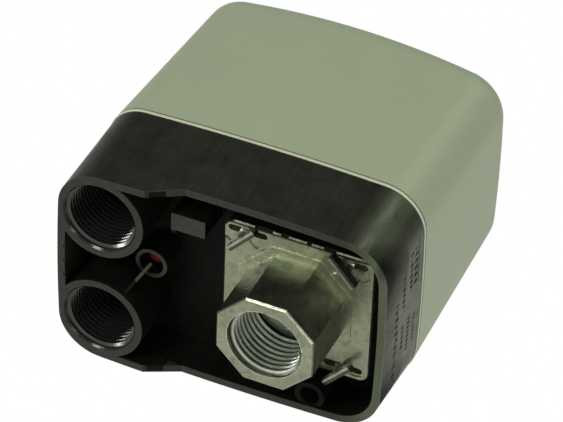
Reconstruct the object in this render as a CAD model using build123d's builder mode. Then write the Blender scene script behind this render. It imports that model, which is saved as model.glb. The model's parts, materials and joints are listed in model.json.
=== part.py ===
"""Pressure switch with a female pressure port, two cable entries and a lift-off cover.

Millimetres.  The origin is on the pressure port's axis, at its outer face.  +Z runs up into the body,
towards the cover.  The cable entries are at -X and point down, as the port does.
"""

from build123d import *
from math import hypot
import os

os.makedirs("parts", exist_ok=True)

# ---------------------------------------------------------------- driving dimensions: casing
seam_height = 36.5            # joint between base and cover
rim_height = 7.9              # lower rim at the cable end
port_rim_height = 12.9        # lower rim at the port end
step_start = -37.8            # where the rim starts to rise
step_end = -28.8              # where the rim has risen
cable_reach = 62.0            # from the port axis to the cable end, at the seam
port_reach = 28.2             # from the port axis to the other end, at the seam
half_width = 32.3             # at the seam, middle of a long side
side_bow = 1.3                # bulge of a long side
top_bow = 2.4                 # the same, at the top of the cover
end_bow = 0.8                 # bulge of an end
cable_corner = 10.5           # corner radius at the cable end, seam and above
rim_corner = 12.2             # the same, at the lower rim
port_corner = 12.3            # corner radius at the port end
rim_reach = 0.85              # the cable end reaches this much further at its lower rim
base_step_in = 0.3            # the cover stands this much proud of the base
base_draft = 1.0              # the base narrows by this much towards its rim
base_wall = 2.1
cover_height = 101.8          # top of the cover's crown
cover_draft = 2.7             # sides lean in by this much, seam to top
cover_end_draft = 2.0         # the cable end leans in by this much
cover_port_draft = 0.3        # the port end leans in by this much
cable_crown = 2.1             # rise of the top from the cable end to its middle
port_crown = 4.6              # rise of the top from the port end to its middle
cover_wall = 2.2
cover_round = 8.0             # edge radius round the top
floor_low = 25.5              # underside of the base's floor
floor_high = 28.0             # upper side of the base's floor
spigot_wall = 1.6             # upstand that locates the cover
spigot_height = 2.0
seal_width = 1.0
seal_height = 0.8
seal_edge = 1.3               # cover material outside the gasket
fit_gap = 0.15                # between the cover and the upstand
lip_height = 0.7              # band at the cover's lower edge
groove_width = 0.3
groove_depth = 0.25

# ---------------------------------------------------------------- driving dimensions: ports
port_flats = 27.0             # octagon, across flats
port_bore = 10.48             # G 1/2 thread, major radius
port_depth = 16.5
port_edge = 0.45
inlet_bore = 3.5
plate_face = 19.2             # lower face of the flange plate
plate_thickness = 3.8
plate_length = 41.8
plate_width = 40.6
plate_shift = 0.6             # plate centre, towards the port end
plate_corner = 3.0
foot_flats = 31.5
foot_height = 0.35
entry_x = -50.6
entry_y = 17.0
entry_bore = 10.0             # M20 thread, major radius
entry_outer = 12.4
entry_relief = 0.5            # chamfer at the mouth

# ---------------------------------------------------------------- driving dimensions: frame
sheet = 1.5                   # bracket sheet thickness
leg_y = 17.5                  # middle plane of a bracket leg
leg_front = 13.0              # upper leg, towards the port end
leg_back = 21.5               # upper leg, towards the contacts
leg_foot = 20.5               # lower leg, towards the port end
leg_foot_height = 44.0
leg_slope = 6.0               # height of the step between the lower and upper leg
leg_slot = 28.0               # pointer slot in a leg
leg_slot_width = 4.0
leg_slot_drop = 6.0
bridge_height = 84.0          # upper face of the bridge
tongue_reach = 37.0
tongue_half = 8.0
tongue_lap = 1.0              # the tongue runs this far into the bridge
tongue_corner = 0.9
tab_x = 14.0
tab_width = 10.2
tab_end = 15.2
tab_twist = 48.0
tab_head = 2.2
neck_width = 3.6
slot_length = 11.0
slot_width = 2.0
cover_screw_x = -31.0

# ---------------------------------------------------------------- driving dimensions: mechanism
diaphragm_radius = 17.0
diaphragm_thickness = 1.2
piston_radius = 12.0
piston_hole = 15.0
piston_dome = 6.0
pivot_x = 16.0
lever_low = 33.0
lever_thickness = 2.0
lever_half = 15.0
lever_tip = -30.5
tip_half = 5.0
pin_radius = 2.0
knuckle_radius = 4.0
touch_gap = 0.05              # between pieces that press on each other
running_gap = 0.08            # radial, for screws in nuts and bushes
main_wire = 2.5
main_coil = 8.5               # mean radius
main_turns = 6
main_nut_low = 66.0
nut_thickness = 4.0
main_screw = 4.0              # M8 x 1.25
diff_x = -16.0
diff_wire = 1.2
diff_coil = 3.9
diff_turns = 9
diff_nut_low = 58.0
diff_screw = 2.5              # M5 x 0.8
seat_thickness = 1.5

# ---------------------------------------------------------------- driving dimensions: contacts
block_front = -40.0
block_step = -32.5
block_back = -22.5
block_half = 24.5
block_low_top = 47.5
block_top = 59.0
block_wall = 1.4
pole_pitch = 15.5
strip = 1.0                   # contact strip thickness
strip_width = 7.0
contact_low = 41.0            # underside of the fixed contact strips
load_low = 53.0               # underside of the load terminals
line_screw_x = -36.4
load_screw_x = -28.4
line_tip = -30.2
load_tip = -25.8
carrier_x = -28.0
bridge_half = 3.2
pad_radius = 1.2
pad_height = 0.5

poles = [-pole_pitch, 0.0, pole_pitch]
slots = [(sx * tab_x, sy * leg_y) for sx in (-1, 1) for sy in (-1, 1)]
plate_back = plate_face + plate_thickness
lever_high = lever_low + lever_thickness
pivot_z = lever_low + lever_thickness / 2
leg_inner = leg_y - sheet / 2
leg_outer = leg_y + sheet / 2
bridge_low = bridge_height - sheet


def save(builder, name):
    """Label a finished piece and write it out."""
    builder.part.label = name
    export_step(builder.part, f"parts/{name}.step")


# ---------------------------------------------------------------- casing outlines
def plan_outline(height, cable, port, width, bow, corner_radius, inset):
    """Bowed rectangle with round corners: the body seen from above, at one height."""
    left = inset - cable
    right = port - inset
    side = width - inset
    corner = side - bow
    middle = (left + right) / 2
    with BuildSketch(Plane.XY.offset(height)) as outline:
        with BuildLine():
            ThreePointArc((left + end_bow, corner), (middle, side), (right - end_bow, corner))
            ThreePointArc((right - end_bow, corner), (right, 0), (right - end_bow, -corner))
            ThreePointArc((right - end_bow, -corner), (middle, -side), (left + end_bow, -corner))
            ThreePointArc((left + end_bow, -corner), (left, 0), (left + end_bow, corner))
        make_face()
        fillet(outline.vertices().sort_by(Axis.X)[:2], corner_radius - inset)
        fillet(outline.vertices().sort_by(Axis.X)[-2:], port_corner - inset)
    return outline.sketch


def base_outline(height, inset=0.0):
    """Outline of the base, which changes evenly from the seam down to its rim."""
    drop = (seam_height - height) / (seam_height - rim_height)
    narrow = base_step_in + base_draft * drop
    return plan_outline(height, cable_reach - base_step_in / 2 + rim_reach * drop, port_reach - narrow / 2,
                        half_width - narrow, side_bow, cable_corner + (rim_corner - cable_corner) * drop, inset)


def cover_outline(height, inset=0.0):
    """Outline of the cover, whose sides lean in."""
    rise = (height - seam_height) / (cover_height - seam_height)
    return plan_outline(height, cable_reach - cover_end_draft * rise, port_reach - cover_port_draft * rise,
                        half_width - cover_draft * rise, side_bow + (top_bow - side_bow) * rise,
                        cable_corner, inset)


def cover_form(inset, bottom):
    """Closed form of the cover: the outer shape, or the hollow when inset is the wall."""
    top = cover_height - inset
    edge_radius = cover_round - inset
    middle = (port_reach - cable_reach) / 2
    half_length = (port_reach + cable_reach) / 2
    with BuildPart() as form:
        loft([cover_outline(bottom, inset), cover_outline(cover_height + 1, inset)], ruled=True)
        with BuildSketch(Plane.XZ) as side_view:
            with BuildLine():
                ThreePointArc((middle - half_length, top - cable_crown), (middle, top),
                              (middle + half_length, top - port_crown))
                Line((middle + half_length, top - port_crown), (middle + half_length, 0))
                Line((middle + half_length, 0), (middle - half_length, 0))
                Line((middle - half_length, 0), (middle - half_length, top - cable_crown))
            make_face()
        extrude(amount=2 * half_width, both=True, mode=Mode.INTERSECT)
        fillet(form.faces().sort_by(Axis.Z)[-1].edges(), edge_radius)
    return form.part


def ring_between(height, outer_inset, inner_inset, depth, outline):
    """Thin ring that follows the casing's outline."""
    with BuildPart() as ring:
        add(outline(height, outer_inset) - outline(height, inner_inset))
        extrude(amount=depth)
    return ring.part


# ---------------------------------------------------------------- small shapes used again
def turned(profile, x, y=0.0):
    """Solid of revolution about a vertical axis, from (radius, height) points."""
    with BuildPart() as piece:
        with BuildSketch(Plane.XZ):
            with BuildLine():
                Polyline(*profile, close=True)
            make_face()
        revolve(axis=Axis.Z)
    return Pos(x, y, 0) * piece.part


def coil_spring(x, y, low, high, coil_radius, wire, turns, ground=True):
    """Compression spring, with its ends ground flat or left as cut."""
    length = high - low
    pitch = length / (turns - 0.5)
    overrun = wire / 2 if ground else -wire / 2 - touch_gap
    with BuildPart() as spring:
        with BuildLine() as path:
            Helix(pitch=pitch, height=length + 2 * overrun, radius=coil_radius, center=(0, 0, low - overrun))
        with BuildSketch(Plane(origin=path.line @ 0, z_dir=path.line % 0)):
            Circle(wire / 2)
        sweep()
        if ground:
            with Locations((0, 0, (low + high) / 2)):
                Box(4 * coil_radius, 4 * coil_radius, length, mode=Mode.INTERSECT)
    return Pos(x, y, 0) * spring.part


def slotted_screw(x, y, seat, head_radius, head_height, shank_radius, tip, slot=0.9):
    """Cheese-head screw that points down, with its head's underside at seat."""
    with BuildPart() as screw:
        with BuildSketch(Plane.XY.offset(seat)):
            Circle(head_radius)
        extrude(amount=head_height)
        chamfer(screw.edges().group_by(Axis.Z)[-1], head_radius * 0.12)
        with BuildSketch(Plane.XY.offset(tip)):
            Circle(shank_radius)
        extrude(amount=seat - tip)
        chamfer(screw.edges().group_by(Axis.Z)[0], shank_radius * 0.25)
        with Locations((0, 0, seat + head_height)):
            Box(2.2 * head_radius, slot, head_height * 0.9, mode=Mode.SUBTRACT)
    return Pos(x, y, 0) * screw.part


# ---------------------------------------------------------------- base housing
tube_x = -39.5                # sealed screw's tube in the underside
tube_outer = 4.5
tube_bore = 3.5
tube_face = 16.0
seat_web = 22.5               # web that the sealed screw's head bears on
boss_x = 7.6                  # blind boss beside the flange
boss_y = 25.3
boss_outer = 4.2
boss_bore = 2.8
boss_face = 13.5
boss_depth = 11.0
block_screw_radius = 1.6
block_screw_hole = 1.85
block_x = -28.75              # small locating block in the recess
block_y = -17.4
block_length = 9.5
block_width = 5.2
block_face = 15.0
pad_margin = 0.6              # seat round the flange plate
tab_room = 0.3                # clearance round a tab in the base
pocket_room = 0.3             # clearance round the diaphragm
inner_wall = 4.0
rib_thickness = 0.8           # rib from the small tube to one cable entry
rib_plane = Plane(origin=(tube_x, 0, 0), x_dir=(entry_x - tube_x, entry_y, 0),
                  z_dir=(entry_y, tube_x - entry_x, 0))
rib_length = hypot(entry_x - tube_x, entry_y) - entry_outer + 1
tick_places = [-4.0, 0.6, 5.6]  # notches in the cable end's rim
tick_size = 0.6
tick_length = 2.4
rib_drop = 0.6                # the rib's low end stands this far above the rim

with BuildPart() as recess:
    loft([base_outline(rim_height - 1, base_wall), base_outline(floor_low, base_wall)], ruled=True)
    with BuildSketch(Plane.XY.offset(rim_height - 1)):
        with Locations((entry_x, entry_y), (entry_x, -entry_y)):
            Circle(entry_outer)
    extrude(amount=floor_low, mode=Mode.SUBTRACT)
    with BuildSketch(Plane.XY.offset(tube_face)):
        with Locations((tube_x, 0)):
            Circle(tube_outer)
    extrude(amount=floor_low, mode=Mode.SUBTRACT)
    with BuildSketch(Plane.XY.offset(boss_face)):
        with Locations((boss_x, boss_y)):
            Circle(boss_outer)
    extrude(amount=floor_low, mode=Mode.SUBTRACT)
    with BuildSketch(Plane.XY.offset(block_face)):
        with Locations((block_x, block_y)):
            Rectangle(block_length, block_width)
        with Locations((block_x - block_length / 2 + 0.6, block_y + block_width / 2 + 0.4)):
            Rectangle(1.2, 1.6)
    extrude(amount=floor_low, mode=Mode.SUBTRACT)
    with BuildSketch(Plane.XY.offset(plate_back)):
        with Locations((plate_shift, 0)):
            RectangleRounded(plate_length + 2 * pad_margin, plate_width + 2 * pad_margin, plate_corner)
    extrude(amount=floor_low, mode=Mode.SUBTRACT)
    with BuildSketch(rib_plane):
        with BuildLine():
            Polyline((0, tube_face), (rib_length, rim_height + rib_drop), (rib_length, floor_low),
                     (0, floor_low), close=True)
        make_face()
    extrude(amount=rib_thickness / 2, both=True, mode=Mode.SUBTRACT)

with BuildPart() as base_housing:
    loft([base_outline(rim_height), base_outline(seam_height)], ruled=True)
    with BuildSketch(Plane.XZ):
        with BuildLine():
            Polyline((step_start, rim_height), (step_end, port_rim_height),
                     (2 * port_reach, port_rim_height), (2 * port_reach, 0), (step_start, 0), close=True)
        make_face()
    extrude(amount=2 * half_width, both=True, mode=Mode.SUBTRACT)
    add(recess.part, mode=Mode.SUBTRACT)
    add(base_outline(seam_height, base_step_in + seal_edge + seal_width + fit_gap))
    extrude(amount=spigot_height)
    loft([base_outline(floor_high, inner_wall), base_outline(seam_height + spigot_height, inner_wall)],
         ruled=True, mode=Mode.SUBTRACT)
    with BuildSketch(Plane.XY.offset(rim_height)):
        with Locations((entry_x, entry_y), (entry_x, -entry_y)):
            Circle(entry_bore)
    extrude(amount=floor_high - rim_height, mode=Mode.SUBTRACT)
    for side in (-entry_y, entry_y):
        with Locations((entry_x, side, rim_height + entry_relief / 2)):
            Cone(entry_bore + entry_relief, entry_bore, entry_relief, mode=Mode.SUBTRACT)
    with BuildSketch(Plane.XY.offset(plate_back)):
        Circle(diaphragm_radius + pocket_room)
    extrude(amount=diaphragm_thickness, mode=Mode.SUBTRACT)
    with BuildSketch(Plane.XY.offset(plate_back)):
        Circle(piston_hole)
        with Locations(slots):
            Rectangle(tab_width + tab_room, sheet + tab_room)
    extrude(amount=floor_high - plate_back, mode=Mode.SUBTRACT)
    with BuildSketch(Plane.XY.offset(tube_face)):
        with Locations((tube_x, 0)):
            Circle(tube_bore)
    extrude(amount=seat_web - tube_face, mode=Mode.SUBTRACT)
    with BuildSketch(Plane.XY.offset(seat_web)):
        with Locations((tube_x, 0)):
            Circle(block_screw_hole)
    extrude(amount=floor_high - seat_web, mode=Mode.SUBTRACT)
    with BuildSketch(Plane.XY.offset(boss_face)):
        with Locations((boss_x, boss_y)):
            Circle(boss_bore)
    extrude(amount=boss_depth, mode=Mode.SUBTRACT)
    for tick in tick_places:
        with Locations((base_wall - cable_reach, tick, rim_height)):
            Box(tick_length, tick_size, 2 * tick_size, mode=Mode.SUBTRACT)
save(base_housing, "base_housing")

with BuildPart() as cover_gasket:
    add(ring_between(seam_height, seal_edge, seal_edge + seal_width, seal_height, cover_outline))
save(cover_gasket, "cover_gasket")


# ---------------------------------------------------------------- cover and its screw
screw_boss = 6.5              # pillar round the cover screw
screw_pocket = 5.6
pocket_depth = 5.5
cover_screw_radius = 2.42
cover_screw_head = 4.6
cover_screw_head_height = 3.2
screw_washer = 1.0
bush_depth = 6.0
bush_radius = 4.5
pillar_gap = 0.5
pillar_root = 1.5             # the pillar stops this far below the crown
screw_room = 0.5
seal_gap = 0.05
pocket_floor = cover_height - pocket_depth

with BuildPart() as cover:
    add(cover_form(0, seam_height))
    add(cover_form(cover_wall, seam_height - 1), mode=Mode.SUBTRACT)
    add(ring_between(seam_height, seal_edge - seal_gap, cover_wall + 1, seal_height + seal_gap, cover_outline),
        mode=Mode.SUBTRACT)
    groove_height = seam_height + lip_height
    add(ring_between(groove_height, -1, groove_depth, groove_width, cover_outline), mode=Mode.SUBTRACT)
    with BuildSketch(Plane.XY.offset(bridge_height + pillar_gap)):
        with Locations((cover_screw_x, 0)):
            Circle(screw_boss)
    extrude(amount=cover_height - pillar_root - bridge_height - pillar_gap)
    with BuildSketch(Plane.XY.offset(pocket_floor)):
        with Locations((cover_screw_x, 0)):
            Circle(screw_pocket)
    extrude(amount=2 * pocket_depth, mode=Mode.SUBTRACT)
    with BuildSketch(Plane.XY.offset(bridge_height)):
        with Locations((cover_screw_x, 0)):
            Circle(cover_screw_radius + screw_room)
    extrude(amount=pocket_floor - bridge_height, mode=Mode.SUBTRACT)
save(cover, "cover")

with BuildPart() as cover_screw:
    add(slotted_screw(cover_screw_x, 0, pocket_floor + screw_washer, cover_screw_head,
                      cover_screw_head_height, cover_screw_radius, bridge_low - bush_depth + 0.5, 1.2))
save(cover_screw, "cover_screw")

with BuildPart() as cover_screw_seal:
    seal_bore = cover_screw_radius + seal_gap
    seal_top = pocket_floor + screw_washer
    add(turned([(seal_bore, pocket_floor), (cover_screw_head, pocket_floor),
                (cover_screw_head, seal_top), (seal_bore, seal_top)], cover_screw_x))
save(cover_screw_seal, "cover_screw_seal")


# ---------------------------------------------------------------- pressure flange
chamber_radius = 14.5
chamber_depth = 1.5
relief_radius = 3.2
relief_depth = 0.4
relief_shift = 1.4            # the reliefs sit this far inward of a slot
relief_spread = 3.6           # and this far along it
plate_edge = 0.35
nick_depth = 0.5
nicks = [(-9.5, 5.0), (-3.6, 2.2), (3.2, 1.4), (9.0, 3.4)]  # place and length along the plate's edge

with BuildPart() as pressure_flange:
    with BuildSketch(Plane.XY.offset(plate_face)):
        with Locations((plate_shift, 0)):
            RectangleRounded(plate_length, plate_width, plate_corner)
    extrude(amount=plate_thickness)
    chamfer(pressure_flange.edges().group_by(Axis.Z)[0], plate_edge)
    with BuildSketch(Plane.XY.offset(plate_face)):
        for x, y in slots:
            inward = -relief_shift if y > 0 else relief_shift
            with Locations((x - relief_spread, y + inward), (x + relief_spread, y + inward)):
                Circle(relief_radius)
    extrude(amount=relief_depth, mode=Mode.SUBTRACT)
    for x, length in nicks:
        with Locations((x, -plate_width / 2, plate_face)):
            Box(length, 2 * nick_depth, 3 * nick_depth, mode=Mode.SUBTRACT)
    with BuildSketch(Plane.XY.offset(plate_face - foot_height)):
        RegularPolygon(foot_flats / 2, 8, major_radius=False, rotation=22.5)
    extrude(amount=foot_height + relief_depth)
    with BuildSketch():
        RegularPolygon(port_flats / 2, 8, major_radius=False, rotation=22.5)
    extrude(amount=plate_face)
    chamfer(pressure_flange.faces().sort_by(Axis.Z)[0].edges(), port_edge)
    with BuildSketch():
        Circle(port_bore)
    extrude(amount=port_depth, mode=Mode.SUBTRACT)
    with BuildSketch():
        Circle(inlet_bore)
    extrude(amount=plate_back, mode=Mode.SUBTRACT)
    with BuildSketch(Plane.XY.offset(plate_back - chamber_depth)):
        Circle(chamber_radius)
    extrude(amount=chamber_depth, mode=Mode.SUBTRACT)
    with BuildSketch(Plane.XY.offset(plate_face)):
        with Locations(slots):
            SlotOverall(slot_length, slot_width)
    extrude(amount=plate_thickness, mode=Mode.SUBTRACT)
save(pressure_flange, "pressure_flange")


# ---------------------------------------------------------------- diaphragm and pressure plate
fold_inner = piston_radius + 0.4
fold_outer = piston_hole - 0.3
fold_rise = 1.0
stem = 5.0                    # radius of the pressure plate's stem
shoulder_rise = 4.0
diaphragm_top = plate_back + diaphragm_thickness

with BuildPart() as diaphragm:
    with BuildSketch(Plane.XZ):
        with BuildLine():
            Polyline((0, plate_back), (diaphragm_radius, plate_back), (diaphragm_radius, diaphragm_top),
                     (fold_outer, diaphragm_top))
            ThreePointArc((fold_outer, diaphragm_top),
                          ((fold_inner + fold_outer) / 2, diaphragm_top + fold_rise), (fold_inner, diaphragm_top))
            Polyline((fold_inner, diaphragm_top), (0, diaphragm_top), (0, plate_back))
        make_face()
    revolve(axis=Axis.Z)
save(diaphragm, "diaphragm")

shoulder = diaphragm_top + shoulder_rise
dome_top = lever_low - touch_gap
dome_side = dome_top - piston_dome + (piston_dome ** 2 - stem ** 2) ** 0.5

with BuildPart() as pressure_plate:
    with BuildSketch(Plane.XZ):
        with BuildLine():
            Polyline((0, diaphragm_top), (piston_radius, diaphragm_top), (piston_radius, shoulder),
                     (stem, shoulder), (stem, dome_side))
            RadiusArc((stem, dome_side), (0, dome_top), -piston_dome)
            Line((0, dome_top), (0, diaphragm_top))
        make_face()
    revolve(axis=Axis.Z)
save(pressure_plate, "pressure_plate")


# ---------------------------------------------------------------- support bracket
def tab_section(height, width, angle):
    """Cross-section of a locking tab, turned by its twist."""
    with BuildSketch(Plane.XY.offset(height)) as section:
        Rectangle(width, sheet, rotation=angle)
    return section.sketch


def twisted_tab(x, y):
    """Locking tab: full width in the base, a neck through the flange, and a twisted head that holds it."""
    angle = -tab_twist if x * y > 0 else tab_twist
    head_high = tab_end + tab_head
    middle = (plate_face + head_high) / 2
    with BuildPart() as tab:
        add(tab_section(plate_back, tab_width, 0))
        extrude(amount=floor_high - plate_back)
        add(tab_section(plate_face, neck_width, 0))
        extrude(amount=plate_thickness)
        loft([tab_section(plate_face, neck_width, 0), tab_section(middle, neck_width, angle / 2),
              tab_section(head_high, neck_width, angle)], ruled=True)
        add(tab_section(tab_end, tab_width, angle))
        extrude(amount=tab_head)
    return Pos(x, y, 0) * tab.part


with BuildPart() as support_bracket:
    with BuildSketch(Plane.XZ):
        with BuildLine():
            Polyline((-leg_back, floor_high), (leg_foot, floor_high), (leg_foot, leg_foot_height),
                     (leg_front, leg_foot_height + leg_slope), (leg_front, bridge_height),
                     (-leg_back, bridge_height), close=True)
        make_face()
    extrude(amount=leg_outer, both=True)
    fillet(support_bracket.edges().filter_by(Axis.X).group_by(Axis.Z)[-1], sheet)
    with Locations((0, 0, bridge_low / 2)):
        Box(4 * port_reach, 2 * leg_inner, bridge_low, mode=Mode.SUBTRACT)
    with BuildSketch(Plane.XY.offset(bridge_low)):
        with Locations((-(tongue_reach + leg_back - tongue_lap) / 2, 0)):
            RectangleRounded(tongue_reach - leg_back + tongue_lap, 2 * tongue_half, tongue_corner)
    extrude(amount=sheet)
    for x, y in slots:
        add(twisted_tab(x, y))
    with BuildSketch(Plane.XZ):
        with Locations((pivot_x, pivot_z)):
            Circle(pin_radius)
        with Locations((0, (main_nut_low + bridge_low) / 2 - leg_slot_drop)):
            SlotOverall(leg_slot, leg_slot_width, rotation=90)
    extrude(amount=2 * leg_y, both=True, mode=Mode.SUBTRACT)
    with BuildSketch(Plane.XY.offset(bridge_low)):
        Circle(main_screw + running_gap)
        with Locations((diff_x, 0)):
            Circle(diff_screw + running_gap)
        with Locations((cover_screw_x, 0)):
            Circle(cover_screw_radius + running_gap)
    extrude(amount=sheet, mode=Mode.SUBTRACT)
save(support_bracket, "support_bracket")

with BuildPart() as cover_screw_bush:
    with BuildSketch(Plane.XY.offset(bridge_low - bush_depth)):
        with Locations((cover_screw_x, 0)):
            RegularPolygon(bush_radius, 6, major_radius=False)
            Circle(cover_screw_radius + running_gap, mode=Mode.SUBTRACT)
    extrude(amount=bush_depth)
save(cover_screw_bush, "cover_screw_bush")


# ---------------------------------------------------------------- rocker
taper_start = 3 - leg_back    # the lever narrows between these two places
taper_end = block_back + 0.9
lever_corner = 2.0
pin_edge = 0.3

with BuildPart() as rocker_lever:
    with BuildSketch(Plane.XY.offset(lever_low)):
        with BuildLine():
            Polyline((pivot_x, lever_half), (taper_start, lever_half), (taper_end, tip_half),
                     (lever_tip, tip_half), (lever_tip, -tip_half), (taper_end, -tip_half),
                     (taper_start, -lever_half), (pivot_x, -lever_half), close=True)
        make_face()
    extrude(amount=lever_thickness)
    fillet(rocker_lever.edges().filter_by(Axis.Z).group_by(Axis.X)[0], lever_corner)
    with BuildSketch(Plane.XZ):
        with Locations((pivot_x, pivot_z)):
            Circle(knuckle_radius)
    extrude(amount=lever_half, both=True)
    with BuildSketch(Plane.XZ):
        with Locations((pivot_x, pivot_z)):
            Circle(pin_radius + touch_gap)
    extrude(amount=2 * lever_half, both=True, mode=Mode.SUBTRACT)
save(rocker_lever, "rocker_lever")

clip_thickness = 0.8
pin_reach = leg_outer + 2.0

with BuildPart() as rocker_pin:
    with BuildSketch(Plane.XZ):
        with Locations((pivot_x, pivot_z)):
            Circle(pin_radius)
    extrude(amount=pin_reach, both=True)
    chamfer(rocker_pin.edges().filter_by(GeomType.CIRCLE), pin_edge)
save(rocker_pin, "rocker_pin")

with BuildPart() as pin_clips:
    for side in (-1, 1):
        with BuildSketch(Plane(origin=(pivot_x, side * leg_outer, pivot_z), z_dir=(0, side, 0))):
            Circle(2 * pin_radius)
            Circle(pin_radius, mode=Mode.SUBTRACT)
            with Locations((2 * pin_radius, 0)):
                Rectangle(2.6 * pin_radius, 1.4 * pin_radius, mode=Mode.SUBTRACT)
        extrude(amount=clip_thickness)
save(pin_clips, "pin_clips")


# ---------------------------------------------------------------- springs, nuts and adjusting screws
def spring_seat(x, radius, hub):
    """Cup on the lever that centres a spring."""
    top = lever_high + seat_thickness
    return turned([(0, lever_high), (radius, lever_high), (radius, top), (hub, top),
                   (hub, top + 2.2), (hub - 0.8, top + 3), (0, top + 3)], x)


def spring_nut(x, low, length, hub, bore):
    """Nut plate that slides between the legs, with a hub inside its spring."""
    with BuildPart() as nut:
        with BuildSketch(Plane.XY.offset(low)):
            Rectangle(length, 2 * (leg_inner - 0.25))
        extrude(amount=nut_thickness)
        chamfer(nut.edges().filter_by(Axis.Z), 1.0)
        with BuildSketch(Plane.XY.offset(low - 3)):
            Circle(hub)
        extrude(amount=3)
        with BuildSketch(Plane.XY.offset(low - 3)):
            Circle(bore)
        extrude(amount=3 + nut_thickness, mode=Mode.SUBTRACT)
    return Pos(x, 0, 0) * nut.part


def adjusting_screw(x, radius, flats, collar, tip):
    """Hanging screw: hexagon head above the bridge, collar below it, thread down to tip."""
    head = bridge_height + touch_gap
    head_height = flats * 0.42
    collar_high = bridge_low - touch_gap
    with BuildPart() as screw:
        with BuildSketch(Plane.XY.offset(head)):
            RegularPolygon(flats / 2, 6, major_radius=False)
        extrude(amount=head_height)
        chamfer(screw.edges().group_by(Axis.Z)[-1], 0.5)
        with BuildSketch(Plane.XY.offset(tip)):
            Circle(radius)
        extrude(amount=head - tip)
        chamfer(screw.edges().group_by(Axis.Z)[0], 0.5)
        with BuildSketch(Plane.XY.offset(collar_high - 1.5)):
            Circle(collar)
        extrude(amount=1.5)
        with Locations((0, 0, head + head_height)):
            Box(2 * flats, 1.2, head_height, mode=Mode.SUBTRACT)
    return Pos(x, 0, 0) * screw.part


main_hub = main_coil - main_wire / 2 - 0.5
diff_hub = diff_coil - diff_wire / 2 - 0.3
seat_top = lever_high + seat_thickness
nut_length = 18.0
diff_nut_length = 9.0

with BuildPart() as main_spring_seat:
    add(spring_seat(0, main_coil + main_wire / 2 + 0.5, main_hub))
save(main_spring_seat, "main_spring_seat")

with BuildPart() as differential_seat:
    add(spring_seat(diff_x, diff_coil + diff_wire / 2 + 0.2, diff_hub - 0.5))
save(differential_seat, "differential_seat")

with BuildPart() as main_spring:
    add(coil_spring(0, 0, seat_top, main_nut_low, main_coil, main_wire, main_turns))
save(main_spring, "main_spring")

with BuildPart() as differential_spring:
    add(coil_spring(diff_x, 0, seat_top, diff_nut_low, diff_coil, diff_wire, diff_turns))
save(differential_spring, "differential_spring")

with BuildPart() as main_spring_nut:
    add(spring_nut(0, main_nut_low, nut_length, main_hub, main_screw + running_gap))
save(main_spring_nut, "main_spring_nut")

with BuildPart() as differential_nut:
    add(spring_nut(diff_x, diff_nut_low, diff_nut_length, diff_hub, diff_screw + running_gap))
save(differential_nut, "differential_nut")

with BuildPart() as main_adjusting_screw:
    add(adjusting_screw(0, main_screw, 13, 6.5, seat_top + 7))
save(main_adjusting_screw, "main_adjusting_screw")

with BuildPart() as differential_screw:
    add(adjusting_screw(diff_x, diff_screw, 8, 4.0, seat_top + 8))
save(differential_screw, "differential_screw")

pointer_z = main_nut_low + nut_thickness / 2
pointer_reach = leg_outer + 2.2

with BuildPart() as pressure_pointer:
    with BuildSketch(Plane.XZ.offset(-leg_inner + 0.25)):
        with Locations((0, pointer_z)):
            Circle(1.2)
    extrude(amount=-(pointer_reach - leg_inner + 0.25))
    with BuildSketch(Plane.XZ.offset(-pointer_reach)):
        with BuildLine():
            Polyline((-1.8, pointer_z - 1.5), (5, pointer_z), (-1.8, pointer_z + 1.5), close=True)
        make_face()
    extrude(amount=-0.6)
save(pressure_pointer, "pressure_pointer")

scale_thickness = 0.6

with BuildPart() as scale_plate:
    with BuildSketch(Plane.XZ.offset(-leg_outer)):
        with Locations((7.2, pointer_z)):
            RectangleRounded(8.4, 22, 1)
        with Locations((7.2, pointer_z - 9.2), (7.2, pointer_z + 9.2)):
            Circle(0.7, mode=Mode.SUBTRACT)
    extrude(amount=-scale_thickness)
save(scale_plate, "scale_plate")

with BuildPart() as scale_rivets:
    for height in (pointer_z - 9.2, pointer_z + 9.2):
        with BuildSketch(Plane.XZ.offset(-leg_outer)):
            with Locations((7.2, height)):
                Circle(0.7)
        extrude(amount=-scale_thickness)
        with BuildSketch(Plane.XZ.offset(-leg_outer - scale_thickness)):
            with Locations((7.2, height)):
                Circle(1.2)
        extrude(amount=-0.5)
save(scale_rivets, "scale_rivets")

with BuildPart() as snap_magnet:
    with Locations((diff_x, 0, (floor_high + lever_low - touch_gap) / 2)):
        Box(4, 16, lever_low - touch_gap - floor_high)
    chamfer(snap_magnet.edges().filter_by(Axis.Z), 0.5)
save(snap_magnet, "snap_magnet")


# ---------------------------------------------------------------- contact block
well_width = 9.0
cavity_front = -31.8
cavity_back = -24.2
cavity_half = pole_pitch + 6.0
block_middle = (block_front + block_back) / 2

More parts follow.
